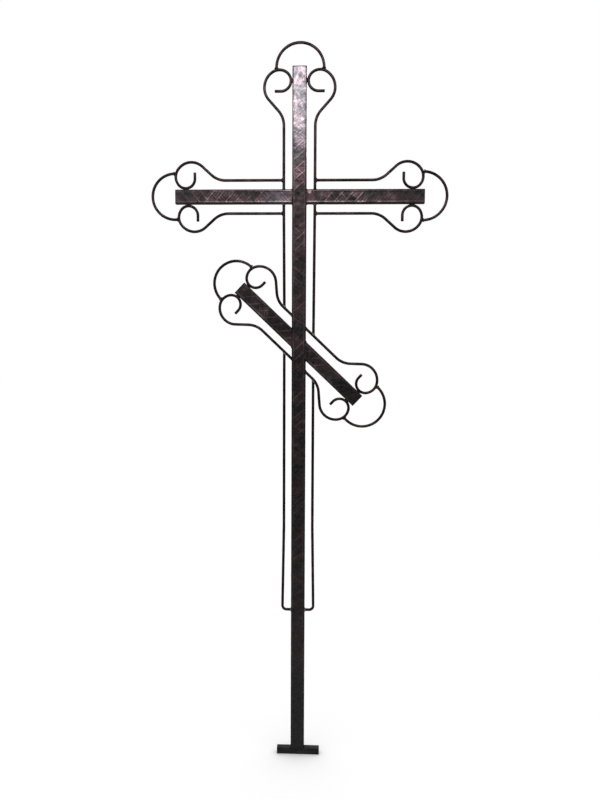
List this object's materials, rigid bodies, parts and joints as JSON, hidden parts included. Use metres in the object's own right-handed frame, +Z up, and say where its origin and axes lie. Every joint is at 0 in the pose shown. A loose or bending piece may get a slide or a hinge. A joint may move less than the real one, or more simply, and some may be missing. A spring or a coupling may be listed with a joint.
{
  "type": "wrought iron grave cross",
  "caption": "Wrought iron grave cross with a level arm, a slanted foot bar, scrolled rods along the bars and a short crossbar at its foot to be set in the ground.",
  "frame": {"origin": "centre of the upright on the underside of the short crossbar at its foot, where the cross is set in the ground", "axes": "+Z up along the upright, +X to the viewer's right along the arm, -Y to the front"},
  "size_m": [0.8304, 0.02, 2.0585],
  "materials": {
    "patterned_tube": "dark brown-black enamel with rubbed mauve-copper patina on an embossed pattern",
    "forged_rod": "dark enamel with a thin reddish patina",
    "foot_steel": "plain satin black enamel"
  },
  "bodies": {
    "root": {"upright": "patterned_tube", "top_cap": "patterned_tube", "left_arm_bar": "patterned_tube", "left_arm_cap": "patterned_tube", "right_arm_bar": "patterned_tube", "right_arm_cap": "patterned_tube", "slant_upper_bar": "patterned_tube", "slant_upper_cap": "patterned_tube", "slant_lower_bar": "patterned_tube", "slant_lower_cap": "patterned_tube", "top_scroll_left": "forged_rod", "top_scroll_right": "forged_rod", "top_arc": "forged_rod", "left_arm_scroll_upper": "forged_rod", "left_arm_scroll_lower": "forged_rod", "left_arm_arc": "forged_rod", "right_arm_scroll_upper": "forged_rod", "right_arm_scroll_lower": "forged_rod", "right_arm_arc": "forged_rod", "slant_upper_scroll_upper": "forged_rod", "slant_upper_scroll_lower": "forged_rod", "slant_upper_arc": "forged_rod", "slant_lower_scroll_upper": "forged_rod", "slant_lower_scroll_lower": "forged_rod", "slant_lower_arc": "forged_rod", "left_middle_rod": "forged_rod", "right_middle_rod": "forged_rod", "left_lower_rod": "forged_rod", "right_lower_rod": "forged_rod", "ground_bar": "foot_steel"}
  },
  "joints": []
}
